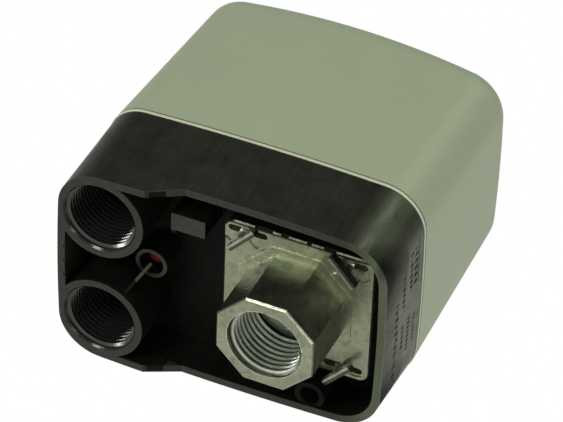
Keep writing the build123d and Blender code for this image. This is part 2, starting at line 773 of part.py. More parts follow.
with BuildPart() as contact_housing:
    with Locations((block_middle, 0, (floor_high + block_low_top) / 2)):
        Box(block_back - block_front, 2 * block_half, block_low_top - floor_high)
    with Locations(((block_step + block_back) / 2, 0, (floor_high + block_top) / 2)):
        Box(block_back - block_step, 2 * block_half, block_top - floor_high)
    fillet(contact_housing.edges().filter_by(Axis.Z).group_by(Axis.X)[0], 2)
    with BuildSketch(Plane.XY.offset(floor_high)):
        with Locations((tube_x, 0)):
            Circle(boss_outer)
    extrude(amount=9)
    with BuildSketch(Plane.XY.offset(floor_high)):
        with Locations((tube_x, 0)):
            Circle(block_screw_radius)
    extrude(amount=8, mode=Mode.SUBTRACT)
    cavity_top = load_low - 0.9
    with Locations(((cavity_front + cavity_back) / 2, 0, (floor_high + cavity_top) / 2)):
        Box(cavity_back - cavity_front, 2 * cavity_half, cavity_top - floor_high, mode=Mode.SUBTRACT)
    with Locations((block_back, 0, (floor_high + contact_low - 1) / 2)):
        Box(6, 2 * tip_half + 2, contact_low - 1 - floor_high, mode=Mode.SUBTRACT)
    for pole in poles:
        with Locations((block_front + 3.5, pole, contact_low + 5)):
            Box(7.1, well_width, 10, mode=Mode.SUBTRACT)
        with Locations((-34, pole, contact_low + strip / 2)):
            Box(8, strip_width, strip, mode=Mode.SUBTRACT)
        with Locations((block_step + 4.0, pole, load_low + 5)):
            Box(8.1, well_width, 10, mode=Mode.SUBTRACT)
        with Locations((-24, pole, (contact_low + load_low + strip) / 2)):
            Box(strip, strip_width, load_low + strip - contact_low, mode=Mode.SUBTRACT)
        with Locations((-24.6, pole, load_low + strip / 2)):
            Box(1.2, strip_width, strip, mode=Mode.SUBTRACT)
save(contact_housing, "contact_housing")

with BuildPart() as line_contacts:
    for pole in poles:
        front = block_front + 0.4
        with Locations(((front + line_tip) / 2, pole, contact_low + strip / 2)):
            Box(line_tip - front, strip_width, strip)
        with BuildSketch(Plane.XY.offset(contact_low)):
            with Locations((line_screw_x, pole)):
                Circle(1.9)
        extrude(amount=strip, mode=Mode.SUBTRACT)
save(line_contacts, "line_contacts")

with BuildPart() as load_contacts:
    for pole in poles:
        with BuildSketch(Plane.XZ.offset(-pole - strip_width / 2)):
            with BuildLine():
                Polyline((load_tip, contact_low), (-23.5, contact_low), (-23.5, load_low + strip),
                         (block_step + 0.4, load_low + strip), (block_step + 0.4, load_low),
                         (-24.5, load_low), (-24.5, contact_low + strip), (load_tip, contact_low + strip),
                         close=True)
            make_face()
        extrude(amount=strip_width)
        with BuildSketch(Plane.XY.offset(load_low)):
            with Locations((load_screw_x, pole)):
                Circle(1.9)
        extrude(amount=strip, mode=Mode.SUBTRACT)
save(load_contacts, "load_contacts")

clamp_thickness = 1.2
clamp_size = 6.4

with BuildPart() as wire_clamps:
    for pole in poles:
        for x, top in ((line_screw_x, contact_low + strip), (load_screw_x, load_low + strip)):
            with BuildSketch(Plane.XY.offset(top)):
                with Locations((x, pole)):
                    Rectangle(clamp_size, clamp_size)
                    Circle(1.9, mode=Mode.SUBTRACT)
            extrude(amount=clamp_thickness)
save(wire_clamps, "wire_clamps")


def terminal_screws(x, strip_low):
    """One terminal screw at each pole, through its clamp and strip."""
    seat = strip_low + strip + clamp_thickness
    with BuildPart() as screws:
        for pole in poles:
            add(slotted_screw(x, pole, seat, 2.9, 2.2, 1.75, strip_low + 0.05))
    return screws


line_terminal_screws = terminal_screws(line_screw_x, contact_low)
save(line_terminal_screws, "line_terminal_screws")

load_terminal_screws = terminal_screws(load_screw_x, load_low)
save(load_terminal_screws, "load_terminal_screws")

bridge_bottom = contact_low + strip + touch_gap
bridge_bar = 1.2
bridge_strip_low = bridge_bottom + pad_height
bridge_strip_top = bridge_strip_low + bridge_bar
bar_low = bridge_strip_top + 2.4
bar_high = bar_low + 2.4
carrier_leg_y = pole_pitch / 2
foot_radius = 2.0
foot_low = lever_high + touch_gap

with BuildPart() as contact_carrier:
    with Locations((carrier_x, 0, (bar_low + bar_high) / 2)):
        Box(3.6, 2 * (pole_pitch + 4.2), bar_high - bar_low)
    for side in (-carrier_leg_y, carrier_leg_y):
        with Locations((carrier_x, side, (foot_low + foot_radius + bar_low) / 2)):
            Box(2.6, 2.4, bar_low - foot_low - foot_radius)
    with BuildSketch(Plane.XZ):
        with Locations((carrier_x, foot_low + foot_radius)):
            Circle(foot_radius)
    extrude(amount=carrier_leg_y + 1.2, both=True)
    for pole in poles:
        with BuildSketch(Plane.XY.offset(bridge_strip_low - 0.3)):
            with Locations((carrier_x, pole)):
                Circle(0.7)
        extrude(amount=bar_low - bridge_strip_low + 0.3)
save(contact_carrier, "contact_carrier")

with BuildPart() as contact_bridges:
    for pole in poles:
        with Locations((carrier_x, pole, bridge_strip_low + bridge_bar / 2)):
            Box(2 * bridge_half, 5, bridge_bar)
        with BuildSketch(Plane.XY.offset(bridge_bottom)):
            with Locations((carrier_x - bridge_half + pad_radius, pole), (carrier_x + bridge_half - pad_radius, pole)):
                Circle(pad_radius)
        extrude(amount=pad_height)
        with BuildSketch(Plane.XY.offset(bridge_strip_low)):
            with Locations((carrier_x, pole)):
                Circle(0.7)
        extrude(amount=bridge_bar, mode=Mode.SUBTRACT)
save(contact_bridges, "contact_bridges")

with BuildPart() as contact_springs:
    for pole in poles:
        add(coil_spring(carrier_x, pole, bridge_strip_top, bar_low, 1.4, 0.45, 3, ground=False))
save(contact_springs, "contact_springs")


# ---------------------------------------------------------------- earth terminal and sealed screw
earth_x = -50.9
earth_spacing = 7.0
earth_length = 13.6
earth_thickness = 1.2
earth_spots = [(earth_x - earth_spacing / 2, 0), (earth_x + earth_spacing / 2, 0)]

with BuildPart() as earth_plate:
    with BuildSketch(Plane.XY.offset(floor_high)):
        with Locations((earth_x, 0)):
            RectangleRounded(earth_length, 7, 1)
        with Locations(earth_spots):
            Circle(1.9, mode=Mode.SUBTRACT)
    extrude(amount=earth_thickness)
save(earth_plate, "earth_plate")

with BuildPart() as earth_clamps:
    with BuildSketch(Plane.XY.offset(floor_high + earth_thickness)):
        with Locations(earth_spots):
            Rectangle(6.2, 6.2)
            Circle(1.9, mode=Mode.SUBTRACT)
    extrude(amount=1)
save(earth_clamps, "earth_clamps")

with BuildPart() as earth_screws:
    for x, y in earth_spots:
        add(slotted_screw(x, y, floor_high + earth_thickness + 1, 3.1, 2.4, 1.75, floor_high + 0.05))
save(earth_screws, "earth_screws")

sealed_head = 2.5
sealed_head_height = 2.0
lacquer_depth = 1.2

with BuildPart() as block_screw:
    with BuildSketch(Plane.XY.offset(seat_web - sealed_head_height)):
        with Locations((tube_x, 0)):
            Circle(sealed_head)
    extrude(amount=sealed_head_height)
    with BuildSketch(Plane.XY.offset(seat_web)):
        with Locations((tube_x, 0)):
            Circle(block_screw_radius)
    extrude(amount=floor_high + 7 - seat_web)
save(block_screw, "block_screw")

with BuildPart() as seal_lacquer:
    with BuildSketch(Plane.XY.offset(seat_web - sealed_head_height - lacquer_depth)):
        with Locations((tube_x, 0)):
            Circle(sealed_head)
    extrude(amount=lacquer_depth)
    fillet(seal_lacquer.edges().group_by(Axis.Z)[0], lacquer_depth * 0.8)
save(seal_lacquer, "seal_lacquer")
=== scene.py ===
"""Looks for the pressure switch: finishes, threads, light and camera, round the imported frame."""

import json
import math

import bpy
from mathutils import Matrix, Vector


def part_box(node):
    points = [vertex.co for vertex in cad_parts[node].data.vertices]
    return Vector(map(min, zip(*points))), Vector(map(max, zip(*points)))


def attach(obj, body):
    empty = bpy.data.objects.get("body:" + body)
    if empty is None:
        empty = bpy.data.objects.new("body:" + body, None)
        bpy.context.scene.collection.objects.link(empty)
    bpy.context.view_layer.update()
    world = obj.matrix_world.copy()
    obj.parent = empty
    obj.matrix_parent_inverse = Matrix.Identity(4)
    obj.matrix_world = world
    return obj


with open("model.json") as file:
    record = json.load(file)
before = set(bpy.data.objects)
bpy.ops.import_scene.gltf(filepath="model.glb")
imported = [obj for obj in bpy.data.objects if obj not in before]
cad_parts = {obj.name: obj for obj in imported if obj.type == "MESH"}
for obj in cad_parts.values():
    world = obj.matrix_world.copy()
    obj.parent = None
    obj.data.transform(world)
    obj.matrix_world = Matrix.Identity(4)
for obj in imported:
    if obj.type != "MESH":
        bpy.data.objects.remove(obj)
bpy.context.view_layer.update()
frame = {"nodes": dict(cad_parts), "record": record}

MM = 0.001


# ---------------------------------------------------------------- shader arithmetic
class Wave:
    """A shader value that takes part in ordinary arithmetic; each operator adds one Math node."""

    def __init__(self, finish, socket):
        self.finish = finish
        self.socket = socket

    def math(self, operation, *values, clamp=False):
        settings = {"operation": operation, "use_clamp": clamp}
        return self.finish.add("ShaderNodeMath", settings, dict(enumerate(values)))

    def __add__(self, other):
        return self.math("ADD", self, other)

    def __radd__(self, other):
        return self.math("ADD", other, self)

    def __sub__(self, other):
        return self.math("SUBTRACT", self, other)

    def __rsub__(self, other):
        return self.math("SUBTRACT", other, self)

    def __mul__(self, other):
        return self.math("MULTIPLY", self, other)

    def __truediv__(self, other):
        return self.math("DIVIDE", self, other)

    def clamp(self):
        return self.math("ADD", self, 0.0, clamp=True)

    def size(self):
        return self.math("ABSOLUTE", self)

    def sign(self):
        return self.math("SIGN", self)

    def root(self):
        return self.math("SQRT", self)

    def fraction(self):
        return self.math("FRACT", self)

    def positive(self):
        return self.math("MAXIMUM", self, 0.0)

    def above(self, edge, soft):
        """0 below edge, 1 above it, over a soft width."""
        return self.math("DIVIDE", self - (edge - soft / 2), soft, clamp=True)


class Finish:
    """One material, built node by node round a Principled shader."""

    def __init__(self, name):
        self.material = bpy.data.materials.new(name)
        self.material.use_nodes = True
        self.tree = self.material.node_tree
        self.tree.nodes.clear()
        self.output = self.tree.nodes.new("ShaderNodeOutputMaterial")
        self.shader = self.tree.nodes.new("ShaderNodeBsdfPrincipled")
        self.tree.links.new(self.shader.outputs[0], self.output.inputs[0])
        coordinates = self.tree.nodes.new("ShaderNodeTexCoord")
        self.place = Wave(self, coordinates.outputs["Object"])

    def add(self, kind, settings=None, inputs=None, out=0):
        """Adds a node: its settings first, then the values or links of its sockets."""
        node = self.tree.nodes.new(kind)
        for key, value in (settings or {}).items():
            setattr(node, key, value)
        for key, value in (inputs or {}).items():
            if isinstance(value, Wave):
                self.tree.links.new(value.socket, node.inputs[key])
            else:
                node.inputs[key].default_value = value
        return Wave(self, node.outputs[out])

    def noise(self, scale, detail=3.0, roughness=0.5, stretch=None, distortion=0.0):
        """Cloud noise; scale is in features per metre."""
        place = self.stretched(stretch) if stretch else self.place
        inputs = {"Vector": place, "Scale": scale, "Detail": detail,
                  "Roughness": roughness, "Distortion": distortion}
        return self.add("ShaderNodeTexNoise", {}, inputs)

    def cells(self, scale):
        return self.add("ShaderNodeTexVoronoi", {}, {"Vector": self.place, "Scale": scale})

    def stretched(self, scale):
        """Object coordinates, squeezed or stretched along each axis."""
        return self.add("ShaderNodeMapping", {"vector_type": "POINT"},
                        {"Vector": self.place, "Scale": scale})

    def axis(self, index):
        """One object coordinate, in metres."""
        return self.add("ShaderNodeSeparateXYZ", {}, {"Vector": self.place}, out=index)

    def blend(self, share, one, two):
        """Mixes two colours, or values as greys, by a share."""
        settings = {"data_type": "RGBA"}
        grey = lambda c: c if isinstance(c, Wave) else (*c, 1.0)
        return self.add("ShaderNodeMix", settings, {0: share, 6: grey(one), 7: grey(two)}, out=2)

    def edges(self, radius, samples=6):
        """1 along convex and concave edges, 0 on flats."""
        rounded = self.add("ShaderNodeBevel", {"samples": samples}, {"Radius": radius})
        plain = self.add("ShaderNodeNewGeometry", {}, {}, out=1)
        dot = self.add("ShaderNodeVectorMath", {"operation": "DOT_PRODUCT"},
                       {0: rounded, 1: plain}, out=1)
        return ((1.0 - dot) * 6.0).clamp()

    def bump(self, height, distance):
        return self.add("ShaderNodeBump", {}, {"Height": height, "Distance": distance, "Strength": 1.0})

    def band(self, index, low, high, soft):
        """1 where one object coordinate lies between low and high, 0 elsewhere."""
        place = self.axis(index)
        return (place - low).above(0, soft) * (high - place).above(0, soft)

    def near_axis(self, x, y, radius, soft):
        """1 within a radius of an upright axis, 0 outside it."""
        across, along = self.axis(0) - x, self.axis(1) - y
        return (radius - (across * across + along * along).root()).above(0, soft)

    def shade_over(self, share, **values):
        """Covers the main shader with a second one, by a share."""
        first = self.shader
        self.shader = self.tree.nodes.new("ShaderNodeBsdfPrincipled")
        self.set(**values)
        mix = self.add("ShaderNodeMixShader", {}, {0: share})
        self.tree.links.new(first.outputs[0], mix.socket.node.inputs[1])
        self.tree.links.new(self.shader.outputs[0], mix.socket.node.inputs[2])
        self.tree.links.new(mix.socket, self.output.inputs[0])
        self.shader = first

    def set(self, **values):
        """Sets the Principled shader's sockets by name, with _ for spaces."""
        for key, value in values.items():
            socket = self.shader.inputs[key.replace("_", " ")]
            if isinstance(value, Wave):
                self.tree.links.new(value.socket, socket)
            elif isinstance(value, tuple):
                socket.default_value = (*value, 1.0)
            else:
                socket.default_value = value


# ---------------------------------------------------------------- places on the frame that the finishes follow
PORT_END = 26.5 * MM             # the port end's outer face starts here
MIDDLE_X = -16.4 * MM            # middle of the base
HALF_X = 44.0 * MM               # half-sizes and corner radius of the recess in the base's underside
HALF_Y = 30.7 * MM
RECESS_CORNER = 11.0 * MM
SIDE_BOW = 1.3 * MM
LOW_RIM = 8.4 * MM               # just above the rim at the cable end
RIM_STEP = 4.8 * MM              # the rim is this much higher at the port end
STEP_X = -33 * MM
RECESS_TOP = 27 * MM
TUBE_X = -39.5 * MM              # small tube of the sealed screw
BLOCK = ((-33.8 * MM, -23.7 * MM), (-20.3 * MM, -14.5 * MM))
ENTRY_X = -50.6 * MM             # cable entries
ENTRY_Y = 17 * MM
PLATE_LOW = 17.6 * MM            # from here up, the casting is the flange plate and not its boss
PLATE_SIDE = 19.3 * MM
PORT_BORE = 10.6 * MM
TAB_X, TAB_Y = 14 * MM, 17.5 * MM
TAB_TOP = 18.8 * MM              # the tabs show below this height
LIP = (36.3 * MM, 37.15 * MM)    # lower edge of the cover, and the groove above it
GROOVE = (37.16 * MM, 37.62 * MM)

# height, ends and stroke length along Y, half the row's height, in mm
PRINT_ROWS = ((20.6, -8, 26, 2.4, 1.0), (24.6, -16, -2, 1.9, 0.8), (24.9, 2, 12, 1.7, 0.8),
              (29.0, -20, -6, 1.8, 0.9), (28.6, 1, 15, 1.5, 0.7), (31.9, -19, -7, 2.3, 1.0),
              (32.2, 3, 13, 1.4, 0.6))


# ---------------------------------------------------------------- finishes
def moulded_plastic(name, light, dark, rough, grain, mottle, specular=0.35):
    """Injection-moulded plastic: cloudy tone, fine pimples, faint flow lines and rubbed edges."""
    f = Finish(name)
    clouds = f.noise(90, 4, 0.6)
    specks = f.noise(1400, 2, 0.6)
    flow = f.noise(160, 3, 0.5, stretch=(1.0, 1.0, 0.12))
    tone = (clouds * 0.5 + flow * 0.3 + specks * 0.2).above(0.5, mottle)
    pale_edges = f.edges(0.5 * MM) * f.noise(700, 3, 0.6).above(0.45, 0.3)
    colour = f.blend(pale_edges * 0.35, f.blend(tone, dark, light), tuple(min(1, 1.6 * c + 0.02) for c in light))
    scratches = f.noise(900, 2, 0.7, stretch=(1.0, 0.05, 0.4)).above(0.68, 0.06)
    height = specks * 0.6 + f.noise(500, 2, 0.5) * 0.8 - scratches * 0.5
    f.set(Base_Color=colour, Roughness=rough + (clouds - 0.5) * 0.18 + scratches * 0.12 - pale_edges * 0.08,
          Normal=f.bump(height, grain), Specular_IOR_Level=specular)
    return f.material


def ruled_print(f):
    """Rows of short strokes on the base's port end, in place of printing."""
    y = f.axis(1)
    ragged = f.noise(560, 1, 0.5, stretch=(1.0, 1.0, 0.6)).above(0.42, 0.06)
    marks = f.band(2, 33.4 * MM, 33.8 * MM, 0.1 * MM) * f.band(1, -21 * MM, -6 * MM, 0.1 * MM)
    for height, low, high, stroke, half in PRINT_ROWS:
        part = (y * (1000.0 / stroke)).fraction().above(0.38, 0.10)
        row = f.band(2, (height - half) * MM, (height + half) * MM, 0.15 * MM)
        marks = marks + row * f.band(1, low * MM, high * MM, 0.1 * MM) * part * ragged
    return (marks * (f.axis(0) - PORT_END).above(0, 0.2 * MM)).clamp()


def recess(f):
    """Two shares: 1 in the recess in the base's underside but not on its rims, and 1 in the cable entries."""
    x, y, z = f.axis(0), f.axis(1), f.axis(2)
    run = (x - MIDDLE_X) / (45 * MM)
    out_x = ((x - MIDDLE_X).size() - (HALF_X - RECESS_CORNER)).positive()
    out_y = (y.size() + run * run * SIDE_BOW - (HALF_Y - RECESS_CORNER)).positive()
    inside = (RECESS_CORNER - (out_x * out_x + out_y * out_y).root()).above(0, 0.4 * MM)
    rim = (x - STEP_X).above(0, MM) * RIM_STEP + LOW_RIM
    inside = inside * (z - rim).above(0, 0.3 * MM) * (RECESS_TOP - z).above(0, MM)
    ring = f.near_axis(TUBE_X, 0.0, 4.7 * MM, 0.1 * MM) * (16.4 * MM - z).above(0, 0.2 * MM)
    block = f.band(0, *BLOCK[0], 0.2 * MM) * f.band(1, *BLOCK[1], 0.2 * MM) * (15.4 * MM - z).above(0, 0.2 * MM)
    bores = f.near_axis(ENTRY_X, ENTRY_Y, 10.6 * MM, 0.2 * MM)
    bores = bores + f.near_axis(ENTRY_X, -ENTRY_Y, 10.6 * MM, 0.2 * MM)
    return inside * (1.0 - ring) * (1.0 - block) * (1.0 - bores), bores


def base_plastic(name, light, dark):
    """Black base moulding: scuffed outside, a painted yellow-green sheen at the port end, painted shade inside
    the cable entries, dull and with painted shade in its recess.
    """
    f = Finish(name)
    x, y, z = f.axis(0), f.axis(1), f.axis(2)
    within, bores = recess(f)
    clouds = f.noise(110, 5, 0.65, distortion=0.6)
    streaks = f.noise(520, 3, 0.7, stretch=(1.0, 1.0, 0.10)).above(0.56, 0.22)
    fine_streaks = f.noise(1900, 2, 0.6, stretch=(1.0, 1.0, 0.05)).above(0.60, 0.15)
    specks = f.noise(1500, 2, 0.6)
    dust = f.noise(2600, 2, 0.5).above(0.70, 0.05) * clouds.above(0.52, 0.2)
    pale_edges = f.edges(0.4 * MM, 5) * f.noise(600, 3, 0.6).above(0.38, 0.3)
    marks = ruled_print(f)
    tone = (clouds * 0.6 + streaks * 0.25 + specks * 0.15).above(0.48, 0.5)
    outside = f.blend(tone, dark, light)
    # Painted sheen: the port end and the side next to it get a lighter yellow-green colour in place of a
    # reflection, crossed by a painted dark band at the -Y corner.
    corner = (x - 12 * MM).above(7 * MM, 10 * MM) * (z - 8 * MM).above(0, MM)
    painted_dark_band = f.band(0, 24.6 * MM, 27.6 * MM, 1.6 * MM) * (-22 * MM - y).above(0, 3 * MM)
    painted_sheen = corner * (1.0 - painted_dark_band * 0.9) * (0.75 + clouds * 0.5)
    outside = f.blend(painted_sheen.clamp(), outside, (0.062, 0.076, 0.044))
    colour = f.blend(dust * 0.30 + pale_edges * 0.20, outside, (0.16, 0.17, 0.13))
    colour = f.blend(marks, colour, (0.005, 0.005, 0.005))
    # Painted shade: the walls and threads inside the cable entries are made darker than the outside.
    colour = f.blend(bores * (z - 8.1 * MM).above(0, 0.2 * MM), colour, (0.010, 0.012, 0.012))
    rims = ((8.3 * MM - z).above(0, 0.2 * MM) + f.band(2, 12.6 * MM, 13.1 * MM, 0.2 * MM)).clamp() * 0.35
    colour = f.blend(rims * (1.0 - painted_sheen), colour, (0.006, 0.006, 0.005))
    rough = 0.36 + (clouds - 0.5) * 0.5 - streaks * 0.06 + fine_streaks * 0.10 + marks * 0.45 - bores * 0.16
    height = specks * 0.5 + f.noise(420, 3, 0.6) * 0.8 - streaks * 0.4 + fine_streaks * 0.2 - marks * 0.6
    wet = (bores * (z - 8.7 * MM).above(0, 0.2 * MM)).clamp()
    f.set(Base_Color=colour, Roughness=rough.clamp(), Normal=f.bump(height, 0.035 * MM),
          Specular_IOR_Level=0.36, Coat_Weight=wet, Coat_Roughness=0.16, Coat_IOR=1.7)
    # Painted shade: inside the recess the plastic is made much darker, besides being duller.
    f.shade_over(within * 0.92, Base_Color=f.blend(tone, (0.0025, 0.0025, 0.0025), (0.006, 0.006, 0.005)),
                  Roughness=0.55 + clouds * 0.2, Specular_IOR_Level=0.05, Normal=f.bump(height, 0.05 * MM))
    return f.material


def cover_plastic(name, light, dark):
    """Sage-green cover: satin skin, a painted highlight along its rounded lower edge and painted shade in the
    groove above it.
    """
    f = Finish(name)
    clouds = f.noise(70, 4, 0.6)
    specks = f.noise(1600, 2, 0.6)
    lip_highlight = f.band(2, *LIP, 0.12 * MM)
    groove_shade = f.band(2, *GROOVE, 0.10 * MM)
    tone = (clouds * 0.7 + specks * 0.3).above(0.5, 0.6)
    nicks = f.noise(1100, 3, 0.7).above(0.66, 0.05) * f.noise(60, 2, 0.5).above(0.55, 0.1)
    pale_edges = f.edges(0.5 * MM, 4) * 0.25
    colour = f.blend(nicks * 0.25 + pale_edges, f.blend(tone, dark, light), (0.62, 0.64, 0.52))
    # Painted highlight: a pale cream band along the rounded lower edge; painted shade: a dark band in the
    # groove above it.
    colour = f.blend(groove_shade * 0.75, f.blend(lip_highlight * 0.7, colour, (0.84, 0.84, 0.66)), (0.09, 0.10, 0.07))
    height = specks * 0.5 + f.noise(450, 2, 0.5) * 0.7 - nicks * 0.5
    f.set(Base_Color=colour, Roughness=(0.44 + (clouds - 0.5) * 0.2 - lip_highlight * 0.12).clamp(),
          Normal=f.bump(height, 0.02 * MM), Specular_IOR_Level=0.26)
    return f.material


def cast_metal(name, light, dark, rough, port_casting=False):
    """Zinc die-casting: a dull skin with clouds, pits and pale edges that are partly real wear and partly a
    painted highlight; the port's face is machine-finished, the boss's sides and the plate's -Y side carry
    painted shade, and the bore's thread crests carry a painted highlight with painted shade between them.
    """
    f = Finish(name)
    clouds = f.noise(130, 6, 0.7, distortion=0.8)
    patches = f.noise(55, 3, 0.6, distortion=1.5)
    skin = f.noise(520, 5, 0.65)
    pits = f.cells(620).above(0.16, 0.1)
    # Pale edges: partly real wear and partly a painted highlight.
    pale_edges = f.edges(0.30 * MM, 8) * f.noise(900, 3, 0.6).above(0.34, 0.3)
    stains = f.noise(240, 5, 0.7, distortion=2.0).above(0.60, 0.16)
    drawn = f.noise(700, 3, 0.6, stretch=(1.0, 1.0, 0.12))
    tone = (clouds * 0.45 + skin * 0.25 + patches * 0.3).above(0.50, 0.34)
    colour = f.blend(stains * 0.5, f.blend(tone, dark, light), tuple(0.5 * c for c in dark))
    if port_casting:
        y, z = f.axis(1), f.axis(2)
        face = (0.24 * MM - z).above(0, 0.1 * MM)
        plate = (z - PLATE_LOW).above(0, MM)
        bore = f.near_axis(0.0, 0.0, PORT_BORE, 0.1 * MM) * (z - 1.2 * MM).above(0, 0.5 * MM)
        # Painted shade: the boss's sides, and the far part of its chamfer, are made much darker than its front
        # face.
        shade = f.blend(clouds.above(0.52, 0.2), (0.085, 0.105, 0.088), (0.20, 0.20, 0.15))
        colour = f.blend((1.0 - face) * (1.0 - plate) * (1.0 - bore) * (0.5 + drawn * 0.4), colour, shade)
        rust = f.noise(320, 4, 0.6, distortion=0.5).above(0.56, 0.12) * f.noise(70, 2, 0.5).above(0.5, 0.2)
        colour = f.blend(plate * 0.25, colour, (0.30, 0.31, 0.22))
        colour = f.blend(plate * rust * 0.45, colour, (0.16, 0.14, 0.08))
        edge = plate * (-PLATE_SIDE - y).above(0, 0.1 * MM)
        # Pale edges on the port casting are partly real wear and partly a painted highlight: full on the boss's
        # front face, a quarter on the plate, faint elsewhere, none in the bore or on the plate's -Y side.
        pale_edges = pale_edges * (1.0 - plate * 0.75) * (1.0 - bore) * (1.0 - edge)
        pale_edges = pale_edges * ((0.20 * MM - z).above(0, 0.1 * MM) + plate + 0.12).clamp()
        # Painted highlight and painted shade in the port bore: pale colour on the thread crests, near black
        # between them.
        crest = f.near_axis(0.0, 0.0, 9.95 * MM, 0.5 * MM)
        colour = f.blend(bore, colour, f.blend(crest, (0.045, 0.052, 0.046), (0.66, 0.70, 0.62)))
        # Painted shade: the plate's -Y side face is made near black.
        colour = f.blend(edge * 0.9, colour, (0.02, 0.022, 0.018))
    colour = f.blend(pale_edges, colour, (0.97, 0.94, 0.80))
    height = skin * 0.9 + f.noise(1500, 2, 0.6) * 0.3 + pits * 0.35 + clouds * 0.8 + drawn * 0.3
    f.set(Base_Color=colour, Metallic=0.92, Normal=f.bump(height, 0.09 * MM),
          Roughness=(rough + (skin - 0.5) * 0.4 + (patches - 0.5) * 0.3 + stains * 0.12 - pale_edges * 0.18).clamp())
    return f.material


def tab_shadow(f):
    """1 on the shaded half of each locking tab's lower edge, below the flange plate."""
    x, y = f.axis(0), f.axis(1)
    off = (x.size() - TAB_X) * 0.743 + (y.size() - TAB_Y) * 0.669
    shade = (off * x.sign() + 0.1 * MM).above(0, 0.15 * MM)
    return shade * (TAB_TOP - f.axis(2)).above(0, 0.2 * MM)


def plated_steel(name, light, dark, rough, brushed=(1.0, 1.0, 1.0), tabs=False):
    """Sheet or turned steel with a zinc coat: faint brushing, spangle and scuffs."""
    f = Finish(name)
    lines = f.noise(2600, 2, 0.6, stretch=brushed)
    spangle = f.cells(350)
    clouds = f.noise(150, 4, 0.6)
    pale_edges = f.edges(0.3 * MM)
    tone = (clouds * 0.6 + spangle * 0.25 + lines * 0.15).above(0.45, 0.5)
    colour = f.blend(pale_edges * 0.7, f.blend(tone, dark, light), (0.92, 0.91, 0.86))
    if tabs:
        low = (TAB_TOP - f.axis(2)).above(0, 0.2 * MM)
        colour = f.blend(low * f.noise(500, 4, 0.6).above(0.5, 0.3) * 0.6, colour, (0.25, 0.26, 0.20))
        colour = f.blend(tab_shadow(f) * 0.9, colour, (0.05, 0.055, 0.04))
    f.set(Base_Color=colour, Metallic=1.0, Normal=f.bump(lines * 0.6 + clouds * 0.4, 0.02 * MM),
          Roughness=(rough + (clouds - 0.5) * 0.25 + lines * 0.08 - pale_edges * 0.1).clamp())
    return f.material


def rubber_like(name, tone, rough):
    """Nitrile rubber: matt, with a bloom and fine moulding grain."""
    f = Finish(name)
    bloom = f.noise(200, 4, 0.6)
    grain = f.noise(1800, 2, 0.6)
    colour = f.blend(bloom.above(0.5, 0.4), tone, tuple(2.0 * c for c in tone))
    f.set(Base_Color=colour, Roughness=rough + (bloom - 0.5) * 0.2,
          Normal=f.bump(grain, 0.03 * MM), Specular_IOR_Level=0.3)
    return f.material


def lacquer(name, tone):
    """Thick sealing lacquer with a wet, uneven skin."""
    f = Finish(name)
    pool = f.noise(500, 3, 0.5)
    colour = f.blend(pool.above(0.5, 0.5), tone, tuple(0.45 * c for c in tone))
    f.set(Base_Color=colour, Roughness=0.22 + pool * 0.15, Coat_Weight=0.5,
          Normal=f.bump(pool, 0.2 * MM))
    return f.material


def printed_scale(name):
    """Satin aluminium plate with a printed column of ticks."""
    f = Finish(name)
    low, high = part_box("scale_plate")
    up = (f.axis(2) - low[2]) / (high[2] - low[2])
    across = (f.axis(0) - low[0]) / (high[0] - low[0])
    fine = (up * 20.0).fraction().above(0.82, 0.02)
    coarse = (up * 4.0).fraction().above(0.94, 0.01)
    ink = ((fine * (0.35 - across).above(0.0, 0.02)) + coarse * (0.7 - across).above(0.0, 0.02)).clamp()
    grain = f.noise(3000, 2, 0.6, stretch=(1.0, 1.0, 0.05))
    colour = f.blend(ink, f.blend(grain, (0.62, 0.62, 0.60), (0.82, 0.82, 0.80)), (0.03, 0.03, 0.03))
    f.set(Base_Color=colour, Metallic=(1.0 - ink) * 0.8, Roughness=0.4 + grain * 0.15 - ink * 0.05,
          Normal=f.bump(grain, 0.01 * MM))
    return f.material


finishes = {
    "black_plastic": base_plastic("black_plastic", (0.026, 0.028, 0.022), (0.013, 0.014, 0.011)),
    "cover_plastic": cover_plastic("cover_plastic", (0.450, 0.505, 0.385), (0.425, 0.475, 0.360)),
    "block_plastic": moulded_plastic("block_plastic", (0.055, 0.052, 0.050), (0.035, 0.034, 0.033), 0.5,
                                     0.03 * MM, 0.5),
    "white_plastic": moulded_plastic("white_plastic", (0.78, 0.76, 0.70), (0.70, 0.68, 0.61), 0.45,
                                     0.02 * MM, 0.5),
    "red_plastic": moulded_plastic("red_plastic", (0.55, 0.03, 0.03), (0.45, 0.02, 0.02), 0.35, 0.02 * MM, 0.5),
    "cast_zinc": cast_metal("cast_zinc", (0.42, 0.44, 0.335), (0.21, 0.22, 0.165), 0.34, port_casting=True),
    "magnet_ferrite": cast_metal("magnet_ferrite", (0.12, 0.12, 0.13), (0.08, 0.08, 0.08), 0.6),
    "bracket_steel": plated_steel("bracket_steel", (0.50, 0.50, 0.45), (0.36, 0.36, 0.32), 0.42,
                                  (1.0, 1.0, 0.06), tabs=True),
    "zinc_steel": plated_steel("zinc_steel", (0.75, 0.74, 0.68), (0.58, 0.57, 0.52), 0.30),
    "steel": plated_steel("steel", (0.52, 0.52, 0.51), (0.38, 0.38, 0.38), 0.30, (1.0, 1.0, 0.2)),
    "spring_steel": plated_steel("spring_steel", (0.42, 0.42, 0.43), (0.28, 0.28, 0.29), 0.34),
    "brass": plated_steel("brass", (0.80, 0.60, 0.27), (0.62, 0.44, 0.18), 0.30, (1.0, 0.1, 1.0)),
    "earth_green": plated_steel("earth_green", (0.30, 0.50, 0.16), (0.20, 0.38, 0.10), 0.34),
    "scale_aluminium": printed_scale("scale_aluminium"),
    "rubber": rubber_like("rubber", (0.018, 0.018, 0.018), 0.6),
    "red_lacquer": lacquer("red_lacquer", (0.22, 0.010, 0.014)),
}

